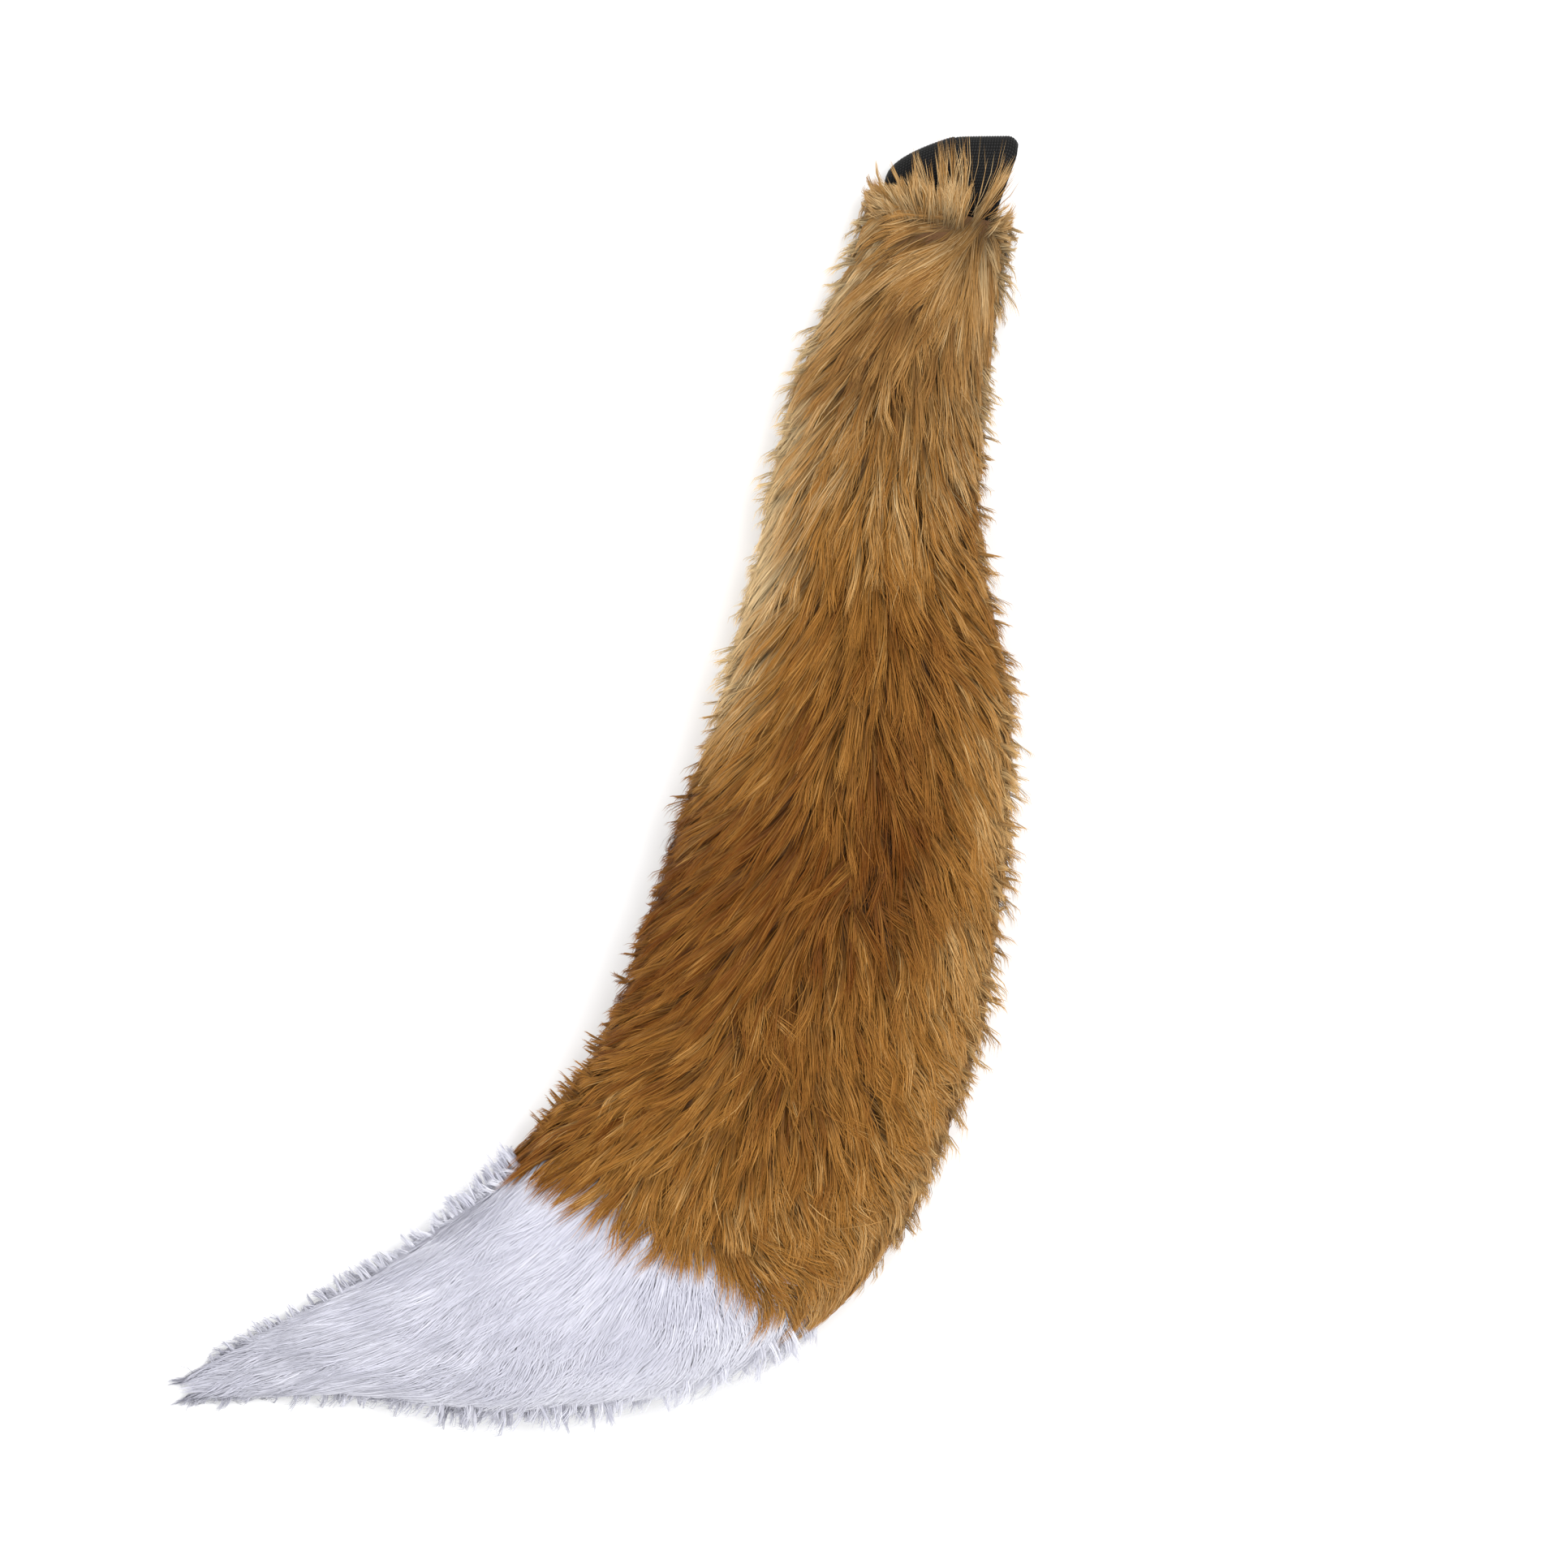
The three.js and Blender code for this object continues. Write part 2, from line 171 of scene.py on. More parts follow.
def skin(distance, around, out):
    """Points of the form. distance from the top seam, around in radians from the middle of the upper side
    towards the inner side of the bend, out from 0 on the backing to 1 on the plain sections."""
    slant = smoothstep(distance, SLANT_START, TAN_LENGTH)
    slant = slant * (1 - smoothstep(distance, TAN_LENGTH, TAIL_LENGTH))
    along = distance + SEAM_SLANT * slant * np.sin(around)
    beyond = along - np.clip(along, 0, TAIL_LENGTH)
    share = along / TAIL_LENGTH
    turn = np.interp(share, FINE, TURN)
    depth = np.interp(share, FINE, DEPTH) * TAIL_DEPTH
    rise = np.interp(share, FINE, PILE) * PILE_RISE
    sideways, upward = rounded(np.sin(around)), rounded(np.cos(around))
    inner, outer = [np.interp(along, BRUSHED[:, 0], BRUSHED[:, column]) for column in (1, 2)]
    half_width = np.interp(share, FINE, WIDTH) * TAIL_WIDTH / 2
    half_width = half_width - np.where(sideways > 0, inner, outer) * np.abs(sideways)
    aside = (half_width + rise * (out - 1)) * sideways
    closing = 1 - CLOSED_SHARE * np.clip(-along / CLOSED_LENGTH, 0, 1)
    above = ((1 - AXIS_SHARE) * depth + rise * (out - 1)) * closing
    below = ((AXIS_SHARE + FLATTENED_SHARE) * depth + PRESSED_SHARE * rise * (out - 1)) * closing
    height = np.where(upward > 0, above, below)
    x = np.interp(share, FINE, LINE_X) - beyond * np.sin(turn) - aside * np.cos(turn)
    y = np.interp(share, FINE, LINE_Y) - beyond * np.cos(turn) + aside * np.sin(turn)
    return np.stack([x, y, AXIS_SHARE * depth + height * upward], axis=-1)


def unit(vectors):
    return vectors / np.maximum(np.linalg.norm(vectors, axis=-1, keepdims=True), 1e-12)


def surface_frame(distance, around):
    """The backing's point there, the directions down the tail, around it and away from it half way up the
    pile, and the metres in a radian."""
    nudge, angle, level = 0.002, 0.04, 0.5
    down = skin(distance + nudge, around, level) - skin(distance - nudge, around, level)
    aside = skin(distance, around + angle, level) - skin(distance, around - angle, level)
    radius = np.linalg.norm(aside, axis=-1) / (2 * angle)
    normal = unit(np.cross(aside, down))
    return skin(distance, around, 0.0), unit(down), unit(aside), normal, radius


print("top of the tail's middle", skin(TAIL_LENGTH / 2, 0.0, 1.0))

# %% [markdown]
# ## Finishes
#
# Fake fur is dyed in the fibre: each hair keeps one shade from root to tip. On top of that, painted shade
# darkens it where it is buried in the pile, and painted light brightens its exposed tip. Where the tail is
# handled most, the hairs are worn and greyer. Every hair here carries its shade, whether it is worn, and its
# own root to tip in a texture map, and one finish turns them into colour. Shader maths is written with a
# small class, so that it reads like ordinary maths.


# %% Shader maths
class Value:
    """A socket of a finish, with ordinary operators."""

    def __init__(self, finish, socket):
        self.finish = finish
        self.socket = socket

    def _math(self, operation, first, second):
        return self.finish.node("ShaderNodeMath", {"operation": operation}, {0: first, 1: second})

    def __add__(self, other):
        return self._math("ADD", self, other)

    def __radd__(self, other):
        return self._math("ADD", other, self)

    def __sub__(self, other):
        return self._math("SUBTRACT", self, other)

    def __rsub__(self, other):
        return self._math("SUBTRACT", other, self)

    def __mul__(self, other):
        return self._math("MULTIPLY", self, other)

    def __rmul__(self, other):
        return self._math("MULTIPLY", other, self)

    def __gt__(self, other):
        return self._math("GREATER_THAN", self, other)

    def sine(self):
        return self._math("SINE", self, 0)

    def clamped(self, low, high):
        return self._math("MINIMUM", self._math("MAXIMUM", self, low), high)


class Finish:
    """A material and its nodes, ending in one Principled shader."""

    def __init__(self, name, **numbers):
        self.material = bpy.data.materials.new(name)
        self.material.use_nodes = True
        self.tree = self.material.node_tree
        self.surface = self.tree.nodes["Principled BSDF"]
        for socket, number in numbers.items():
            self.surface.inputs[socket.replace("_", " ")].default_value = number

    def node(self, kind, settings=None, inputs=None, output=0):
        made = self.tree.nodes.new(kind)
        for key, value in (settings or {}).items():
            setattr(made, key, value)
        for key, value in (inputs or {}).items():
            if isinstance(value, Value):
                self.tree.links.new(value.socket, made.inputs[key])
            else:
                made.inputs[key].default_value = value
        return Value(self, made.outputs[output])

    def map_axes(self, name):
        """The two axes of a texture map."""
        place = self.node("ShaderNodeUVMap", {"uv_map": name})
        first = self.node("ShaderNodeSeparateXYZ", inputs={0: place})
        return first, Value(self, first.socket.node.outputs[1])

    def mix(self, share, first, second):
        """Two colours mixed, which are Values or (red, green, blue)."""
        first, second = [c if isinstance(c, Value) else (*c, 1) for c in (first, second)]
        return self.node("ShaderNodeMix", {"data_type": "RGBA"}, {0: share, 6: first, 7: second}, output=2)

    def scaled(self, colour, share):
        """A colour made lighter or darker."""
        return self.node("ShaderNodeVectorMath", {"operation": "SCALE"}, {0: colour, 3: share})

    def feed(self, socket, value):
        self.tree.links.new(value.socket, self.surface.inputs[socket])


print("shader maths ready")

# %% [markdown]
# ## The colours of the fur
#
# Three shades of hair are mixed in each fur, and so are three shades of worn hair. The tan fur's roots are
# nearly black in the shade of the pile, while the white fur lets the light through and hardly darkens.

# %% Fur
def fur_finish(name, fresh, worn, root_light, tip_light):
    """The map's first axis picks the hair's shade: its lower half holds fresh hairs, from the darkest to the
    lightest, and its upper half worn ones. The second axis runs from root to tip."""
    finish = Finish(name, Roughness=0.62, Specular_IOR_Level=0.15)
    across, tip = finish.map_axes("OFBake")
    is_worn = across > 0.5
    shade = across * 2 - is_worn
    colours = []
    for dark, middle, light in (fresh, worn):
        lower = finish.mix((shade * 2).clamped(0, 1), dark, middle)
        colours.append(finish.mix((shade * 2 - 1).clamped(0, 1), lower, light))
    # painted shade darkens each hair towards its buried root, and painted light brightens its exposed tip
    painted_shade_and_light = root_light + (tip_light - root_light) * tip
    finish.feed("Base Color", finish.scaled(finish.mix(is_worn, *colours), painted_shade_and_light))
    return finish.material


TAN_FUR = fur_finish(
    "tan_fur",
    fresh=[(0.12, 0.033, 0.0005), (0.32, 0.143, 0.026), (0.64, 0.425, 0.185)],
    worn=[(0.13, 0.044, 0.006), (0.32, 0.165, 0.046), (0.61, 0.445, 0.235)],
    root_light=0.22,
    tip_light=1.45,
)
WHITE_FUR = fur_finish(
    "white_fur",
    fresh=[(0.42, 0.42, 0.50), (0.56, 0.56, 0.64), (0.76, 0.76, 0.82)],
    worn=[(0.30, 0.30, 0.36), (0.42, 0.42, 0.48), (0.60, 0.60, 0.66)],
    root_light=0.97,
    tip_light=1.0,
)
print("fur finishes", TAN_FUR.name, WHITE_FUR.name)


# %% Backing
def backing_finish(name, colour):
    """The dense short fibres over the knitted backing, seen in the partings between locks."""
    finish = Finish(name, Roughness=0.9)
    place = finish.node("ShaderNodeTexCoord", output=3)
    fleck = finish.node("ShaderNodeTexNoise", inputs={"Vector": place, "Scale": 420, "Detail": 2}, output=0)
    finish.feed("Base Color", finish.mix(fleck, [0.55 * part for part in colour], colour))
    relief = finish.node("ShaderNodeBump", inputs={"Height": fleck, "Strength": 0.5, "Distance": 0.0008})
    finish.feed("Normal", relief)
    return finish.material


TAN_BACKING = backing_finish("tan_backing", (0.12, 0.05, 0.012))
WHITE_BACKING = backing_finish("white_backing", (0.68, 0.68, 0.76))
print("backing finishes", TAN_BACKING.name, WHITE_BACKING.name)

# %% [markdown]
# ## The stuffed sleeve
#
# Under the pile lies the knitted backing, drawn round by its stuffing. It shows only as shade between locks,
# but it stops the light and gives the locks something to stand on. It is pressed flat where the tail lies.


# %% Meshes made of rings
def new_piece(name, mesh, material):
    mesh.materials.append(material)
    piece = bpy.data.objects.new(name, mesh)
    bpy.context.collection.objects.link(piece)
    return piece


def new_mesh(name, points, faces, material):
    mesh = bpy.data.meshes.new(name)
    mesh.from_pydata(points, [], faces)
    mesh.polygons.foreach_set("use_smooth", [True] * len(mesh.polygons))
    return new_piece(name, mesh, material)


def tube_faces(rings, size):
    """Four-sided faces between neighbouring rings, each of this size."""
    faces = []
    for ring in range(rings - 1):
        for column in range(size):
            here, beside = ring * size + column, ring * size + (column + 1) % size
            faces.append((here, beside, beside + size, here + size))
    return faces


print("a ring of", len(tube_faces(2, 4)), "faces joins two squares")

# %% The backing of each fur
BACKING_COLUMNS = 96
BACKING_LOWEST = 0.0006  # over the table
TUCKED_IN = 0.012  # of the tan backing above the top seam
BACKING_GAP = 0.0004  # between the two backings
POINT_SHORT = 0.004  # by which the backing ends before the point's hairs


def backing(name, start, end, rings, node, material):
    distance = np.linspace(start, end, rings)
    around = np.arange(BACKING_COLUMNS) / BACKING_COLUMNS * 2 * math.pi
    grid = skin(distance[:, None], around[None, :], np.zeros((rings, BACKING_COLUMNS)))
    grid[..., 2] = np.maximum(grid[..., 2], BACKING_LOWEST)
    points = np.vstack([grid.reshape(-1, 3), grid[0].mean(axis=0), grid[-1].mean(axis=0)])
    faces = tube_faces(rings, BACKING_COLUMNS)
    first, last = len(points) - 2, len(points) - 1
    base = (rings - 1) * BACKING_COLUMNS
    for column in range(BACKING_COLUMNS):
        beside = (column + 1) % BACKING_COLUMNS
        faces.append((first, beside, column))
        faces.append((last, base + column, base + beside))
    piece = new_mesh(name, points.tolist(), faces, material)
    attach(piece, "root")
    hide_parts(node)
    print(name, len(faces), "faces")


white_start, white_end = TAN_LENGTH + BACKING_GAP, TAIL_LENGTH - POINT_SHORT
backing("tan_sleeve", -TUCKED_IN, TAN_LENGTH, 112, "tan_fur_body", TAN_BACKING)
backing("white_sleeve", white_start, white_end, 60, "white_fur_tip", WHITE_BACKING)

# %% [markdown]
# ## The way the pile lies
#
# On the real tail the pile runs from the seam to the point and spreads away from the middle of the upper
# side. Near the top seam it was brushed apart: from one crown to the right of the middle it fans out like
# the hair on a head. A hand has ruffled a few places half way down. All of it is one angle at each place,
# which later cells ask for.

# %% How the pile was combed
CROWN = np.array([SEAM_X + 0.0205, SEAM_Y + 0.007])
CROWN_REACH = 0.046
SPREAD = math.radians(46)
SPREAD_POWER = 0.75  # how early the pile turns aside from the middle
WIDE_SPREAD = math.radians(66)  # on the inner side of the bend, half way down
WIDE_FROM, WIDE_TO = (0.12, 0.20), (0.33, 0.40)
TIP_SPREAD = math.radians(30)
TIP_FROM = (TAN_LENGTH - 0.05, TAN_LENGTH + 0.03)
LAG = math.radians(34)  # where the tail bends most, the pile still points a little the way it did before
LAG_FROM, LAG_TO = (0.25, TAN_LENGTH), (0.45, 0.57)
OUTER_EDGE = (0.75, 1.0)
OUTER_LAG_LOSS = 0.45  # at the outer edge
WANDER, WANDER_SIZE = math.radians(8), 0.075
METRES_PER_RADIAN = 0.06  # round the tail, about

# distance along the tail, radians round it, and how far in radians the hairs are pushed aside there
RUFFLED = np.array([
    (0.246, -0.14, 1.1),
    (0.260, -0.24, -0.9),
    (0.300, 0.30, -1.0),
    (0.316, 0.44, 0.8),
    (0.345, 0.80, -0.8),
])
RUFFLE_RADIUS = 0.009
print("crown at", CROWN)


# %% Directions of the pile
def waves(distance, around, size, seed):
    """Slow, repeatable unevenness from about -1 to 1, in waves of about this size."""
    source = np.random.default_rng(seed)
    count, full_turn = 5, 6.3
    total = 0
    for _ in range(count):
        turn, phase = source.uniform(0, 2 * math.pi, 2)
        place = distance * math.cos(turn) + around * METRES_PER_RADIAN * math.sin(turn)
        total = total + np.sin(place * full_turn / size + phase)
    return total / (count / 2)


def lie_towards(towards, down, aside):
    """The angle from straight down the tail of a direction that is seen from above."""
    return np.arctan2((towards * aside[..., :2]).sum(-1), (towards * down[..., :2]).sum(-1))


def crown_fan(distance, around):
    """The angle in which hairs fan out from the crown, and how strongly it holds there."""
    place, down, aside, _, _ = surface_frame(distance, around)
    from_crown = place[..., :2] - CROWN
    far = np.linalg.norm(from_crown, axis=-1)
    towards = from_crown / np.maximum(far, 1e-9)[..., None]
    hold = np.exp(-((far / CROWN_REACH) ** 2)) * (np.cos(around) > 0)
    return lie_towards(towards, down, aside), hold


def pile_direction(distance, around):
    """The angle from straight down the tail in which the pile lies, growing towards the inner side."""
    side = np.sin(around)
    wide = smoothstep(distance, *WIDE_FROM) * (1 - smoothstep(distance, *WIDE_TO)) * (side > 0)
    spread = SPREAD + (WIDE_SPREAD - SPREAD) * wide
    spread = spread + (TIP_SPREAD - spread) * smoothstep(distance, *TIP_FROM)
    lag = LAG * smoothstep(distance, *LAG_FROM) * (1 - smoothstep(distance, *LAG_TO))
    lag = lag * (1 - OUTER_LAG_LOSS * smoothstep(-side, *OUTER_EDGE))
    lie = spread * np.sign(side) * np.abs(side) ** SPREAD_POWER - lag
    lie = lie + WANDER * waves(distance, around, WANDER_SIZE, 3)
    for at_distance, at_around, turn in RUFFLED:
        gap = np.hypot(distance - at_distance, (around - at_around) * METRES_PER_RADIAN)
        lie = lie + turn * np.exp(-((gap / RUFFLE_RADIUS) ** 2))
    fanned, hold = crown_fan(distance, around)
    return lie + hold * np.angle(np.exp(1j * (fanned - lie)))


half_way = np.array([TAN_LENGTH / 2])
print("half way down, the pile lies at", np.degrees(pile_direction(half_way, np.array([0.5]))), "degrees")

# %% [markdown]
# ## Locks
#
# A lock starts as a patch of backing about 7 mm across. Its hairs leave the patch together, lean over, and
# draw in to one point, because fibres cling. The hairs at its edges lie lower than those in its middle, which
# gives each lock a rounded back and a dark parting beside it. Some hairs stray. The locks stand in rows, but
# each is moved a little at random, because rows would show.

# %% Planting
ROW_JITTER = 0.4  # of the spacing, along the tail
COLUMN_JITTER = 0.32  # of the spacing, round the tail
FEWEST_IN_ROW = 5
UNDERSIDE = math.radians(118)  # from here on a lock lies under the tail
UNDER_SHARE = 0.4  # of the locks are planted there


def plant(start, end, spacing):
    """Places of locks, evenly spread over the form between two distances, fewer under the tail."""
    around = np.linspace(-math.pi, math.pi, 181)
    places = []
    distance = start
    row = 0
    while distance < end:
        ring = skin(np.full(len(around), distance), around, np.full(len(around), 0.3))
        length = np.concatenate([[0], np.cumsum(np.linalg.norm(np.diff(ring, axis=0), axis=1))])
        girth = length[-1]
        count = max(FEWEST_IN_ROW, int(girth / spacing))
        at = np.arange(count) + 0.5 * (row % 2) + random.uniform(-COLUMN_JITTER, COLUMN_JITTER, count)
        angles = np.interp(at / count * girth % girth, length, around)
        angles = angles[(np.abs(angles) <= UNDERSIDE) | (random.random(count) < UNDER_SHARE)]
        moved = distance + random.uniform(-ROW_JITTER, ROW_JITTER, len(angles)) * spacing
        places.append(np.stack([moved, angles], axis=1))
        distance += spacing
        row += 1
    planted = np.vstack(places)
    print(len(planted), "locks in", row, "rows")
    return planted


# %% Growing
POINTS = 4  # along a hair
ALONG = np.linspace(0, 1, POINTS)
LEAST_RADIUS = 0.006
PULL = (0.85, 1.08)  # least and most, as shares of the lock's own value
LENGTH = (0.78, 1.05)
HEIGHT = (0.8, 1.12)
DOME = 0.3  # the hairs in the middle of a lock stand higher by this share
CURL = 0.09
LIE_NOISE, STRAY_LIE_NOISE = 0.05, 0.22
STRAY_PULL, STRAY_LENGTH = 0.2, 0.95
LOWEST, LOWEST_SPREAD = 0.0005, 0.0012  # over the table


def grow(locks, hairs, patch, draw_in, hair_width=0.00036, stray=0.06, unevenness=0.10):
    """So many hairs for each lock, as middle lines with widths, shades and the way out of the backing.
    locks holds arrays of places, direction, length, rise, shade and worn, the share of worn hairs."""
    count = len(locks["places"])
    lock = np.repeat(np.arange(count), hairs)
    total = len(lock)
    distance, around = locks["places"][lock, 0], locks["places"][lock, 1]
    _, _, _, normal, radius = surface_frame(distance, around)
    radius = np.maximum(radius, LEAST_RADIUS)
    size = np.sqrt(random.random(total))
    turn = random.uniform(0, 2 * math.pi, total)
    off_down, off_side = size * np.cos(turn) * patch, size * np.sin(turn) * patch
    strays = random.random(total) < stray
    pull = np.where(strays, STRAY_PULL, draw_in * random.uniform(*PULL, total))
    length = locks["length"][lock] * random.uniform(*LENGTH, total) * np.where(strays, STRAY_LENGTH, 1)
    noise = np.where(strays, STRAY_LIE_NOISE, LIE_NOISE)
    lie = locks["direction"][lock] + noise * random.standard_normal(total)
    curl = (random.standard_normal(count) * CURL)[lock]
    dome = 1 + DOME * (1 - size**2)
    height = locks["rise"][lock] * dome * random.uniform(*HEIGHT, total)
    t = ALONG[None, :]
    kept = 1 - pull[:, None] * t**0.75
    bent = lie[:, None] + curl[:, None] * t**2
    step = length[:, None] * (0.93 * t + 0.07 * t**2)
    down = distance[:, None] + off_down[:, None] * kept + step * np.cos(bent)
    side = off_side[:, None] * kept + step * np.sin(bent)
    out = height[:, None] * (1 - (1 - t) ** 2.1)
    line = skin(down, around[:, None] + side / radius[:, None], out)
    line[..., 2] = np.maximum(line[..., 2], LOWEST + LOWEST_SPREAD * random.random((total, 1)))
    shade = np.clip(locks["shade"][lock] + unevenness * random.standard_normal(total), 0.02, 0.98)
    is_worn = random.random(total) < locks["worn"][lock]
    width = hair_width * random.uniform(0.7, 1.3, total)
    return {"line": line, "width": width, "shade": (shade + is_worn) / 2, "out": normal}


def join(groups):
    return {key: np.concatenate([group[key] for group in groups]) for key in groups[0]}


print("points along a hair", ALONG)

# %% [markdown]
# ## Hairs as a mesh
#
# A hundred thousand hairs are too many for single objects, and the model has to show them without Blender's
# own hair. So each hair becomes a narrow tapering blade of five triangles, and all the blades of a fur's part
# are written into one mesh from arrays. A blade is rolled a little about itself, so that it catches the light
# in its own way.

# %% Blades
CORNERS = 2 * POINTS - 1  # two at each point of a hair, and one at its tip
TAPER = np.array([0.85, 1.0, 0.75, 0.0])
LOWEST_CORNER = 0.0002
MAP_BAND = 0.002  # half the width of a hair's strip in the texture map


def blade_corners(hairs, roll):
    line, total = hairs["line"], len(hairs["line"])
    tangent = unit(np.gradient(line, axis=1))
    side = unit(np.cross(tangent, hairs["out"][:, None, :]))
    face = unit(np.cross(side, tangent))
    rolled = roll * random.uniform(-1, 1, total)[:, None, None]
    across = side * np.cos(rolled) + face * np.sin(rolled)
    half = 0.5 * hairs["width"][:, None, None] * TAPER[None, :, None]
    corners = np.empty((total, CORNERS, 3))
    corners[:, 0:-1:2] = (line - across * half)[:, :-1]
    corners[:, 1:-1:2] = (line + across * half)[:, :-1]
    corners[:, -1] = line[:, -1]
    corners[..., 2] = np.maximum(corners[..., 2], LOWEST_CORNER)
    return corners


def blade_map(shade):
    """Each corner's place in the texture map: the hair's shade, and root to tip."""
    place = np.empty((len(shade), CORNERS, 2))
    place[:, 0:-1:2, 0] = shade[:, None] - MAP_BAND
    place[:, 1:-1:2, 0] = shade[:, None] + MAP_BAND
    place[:, -1, 0] = shade
    place[:, 0:-1:2, 1] = place[:, 1:-1:2, 1] = ALONG[None, :-1]
    place[:, -1, 1] = 1
    return np.clip(place, 0.001, 0.999)


def blade_faces(total):
    """The corners of every face in turn, and how many each face has."""
    one = []
    for link in range(POINTS - 2):
        one += [2 * link, 2 * link + 1, 2 * link + 3, 2 * link + 2]
    one += [CORNERS - 3, CORNERS - 2, CORNERS - 1]
    loops = np.array(one)[None, :] + np.arange(total)[:, None] * CORNERS
    return loops.ravel(), np.tile([4] * (POINTS - 2) + [3], total)


def hair_piece(name, hairs, material, roll=0.9):
    """One mesh of all these hairs. roll: the most that a blade turns about itself, in radians."""
    corners = blade_corners(hairs, roll)
    total = len(corners)
    loops, sizes = blade_faces(total)
    mesh = bpy.data.meshes.new(name)
    mesh.vertices.add(total * CORNERS)
    mesh.vertices.foreach_set("co", corners.ravel())
    mesh.loops.add(len(loops))
    mesh.loops.foreach_set("vertex_index", loops)
    mesh.polygons.add(len(sizes))
    mesh.polygons.foreach_set("loop_start", np.concatenate([[0], np.cumsum(sizes)[:-1]]))
    mesh.polygons.foreach_set("use_smooth", np.ones(len(sizes), dtype=bool))
    mesh.update(calc_edges=True)
    layer = mesh.uv_layers.new(name="OFBake")
    layer.data.foreach_set("uv", blade_map(hairs["shade"]).reshape(-1, 2)[loops].ravel())
    piece = new_piece(name, mesh, material)
    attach(piece, "root")
    print(name, total, "hairs", total * (CORNERS - 2), "triangles")


print("corners of a blade", CORNERS)

# %% [markdown]
# ## Shades of the tan fur
#
# The real fur isn't one colour. It is pale at the top, where hands have worn it, and richest brown in the
# middle of its length. Along the outer side of the bend, the lit side, it is lighter again, partly in its own
# colour and partly with painted light. The inner side is pale above, and dark below, partly with painted
# shade. Each line of the sum below adds one such change, and a lock takes the shade of its root's place.


# %% Tan shades
def bump(value, middle, reach):
    """1 in the middle, falling off on both sides."""
    return np.exp(-(((value - middle) / reach) ** 2))


def tan_shade(distance, around):
    """The shade of a lock, from 0 for the darkest to 1 for the lightest."""
    low = smoothstep(distance, 0.14, 0.24)
    outer = smoothstep(-np.sin(around), 0.2, 0.9)
    inner = smoothstep(np.sin(around), 0.3, 1.0)
    from_above = np.cos(around) > -0.2
    # richest brown in the middle of the length, but not on the outer side, where it is partly painted light
    shade = 0.52 - 0.36 * bump(distance, 0.235, 0.10) * (1 - 0.8 * outer)
    # the inner side: pale above in its own colour, dark below partly as painted shade
    shade = shade + inner * (0.50 - 0.62 * low)
    # lighter along the outer, lit side: partly its own colour and partly painted light
    shade = shade + outer * low * (0.32 - 0.14 * smoothstep(distance, 0.225, 0.265))
    shade = shade - 0.10 * (1 - smoothstep(distance, 0.02, 0.09))
    shade = shade - 0.08 * smoothstep(distance, 0.32, 0.37)
    shade = shade + 0.36 * inner * bump(distance, 0.130, 0.060) * from_above
    # lighter on the outer side near the top: partly painted light
    shade = shade + 0.12 * outer * (1 - smoothstep(distance, 0.06, 0.10))
    shade = shade + 0.08 * bump(distance, 0.012, 0.014) * bump(around, 0.2, 0.5)
    return shade + 0.05 * waves(distance, around, 0.09, 5)


def tan_worn(distance, around):
    """The share of worn hairs: all at the top, and some down the inner side."""
    inner = smoothstep(np.sin(around), 0.2, 0.8)
    return np.maximum(1 - smoothstep(distance, 0.03, 0.14), inner * (1 - smoothstep(distance, 0.13, 0.28)))


print("shade in the middle", tan_shade(TAN_LENGTH / 2, 0.0))

# %% [markdown]
# ## The tan pile
#
# The tan locks are 35 mm long. On the outer side they were combed smooth and down past the seam, over the
# white fur, and on the inner side they are more ruffled. The pile is made in four pieces to keep each light.

# %% Tan locks
TAN_LOCK_LENGTH = 0.035
TAN_RISE = (0.16, 0.62)
CALM_RISE, CALM_SHARE = 0.30, 0.6  # where the pile is smooth, its rise goes this share of the way to this
LOCK_SPACING = 0.0053
COMBED_PAST = 0.018  # on the outer side the tan pile is combed this far past the seam


def body_locks(places, hairs, patch):
    distance, around = places[:, 0], places[:, 1]
    count = len(places)
    outer = smoothstep(-np.sin(around), 0.3, 1.0)
    calm = smoothstep(-np.sin(around), 0.2, 0.9) * smoothstep(distance, 0.16, 0.28)
    ruffled = smoothstep(np.sin(around), 0.3, 0.9) * smoothstep(distance, 0.20, 0.28)
    length = TAN_LOCK_LENGTH * random.uniform(0.82, 1.12, count)
    rise = random.uniform(*TAN_RISE, count) * (1 - 0.2 * outer)
    rise = rise + (CALM_RISE - rise) * CALM_SHARE * calm
    direction = pile_direction(distance, around) + random.standard_normal(count) * 0.08 * (1 - 0.5 * calm)
    uneven = 0.085 * (1 - 0.5 * calm + 0.8 * ruffled)
    shade = tan_shade(distance, around) + uneven * random.standard_normal(count)
    locks = {"places": places, "direction": direction, "length": length, "rise": rise, "shade": shade}
    locks["worn"] = tan_worn(distance, around)
    return grow(locks, hairs, patch, draw_in=0.92)


def tan_end(around):
    """How far down the tail the tan pile is planted."""
    outer = -np.sin(around)
    past = COMBED_PAST * smoothstep(outer, 0.0, 0.8)
    return TAN_LENGTH + past * (1 - 0.5 * smoothstep(outer, 0.85, 1.0))


print("in the middle the tan pile ends at", tan_end(0.0))


# %% The tan pile in four pieces
TOP_START = -0.010
TAN_STOP = TAN_LENGTH - 0.002
PIECE_ENDS = [TOP_START, 0.108, 0.208, 0.306, TAN_STOP]
HAIRS_IN_LOCK = 26
PATCH = 0.62 * LOCK_SPACING

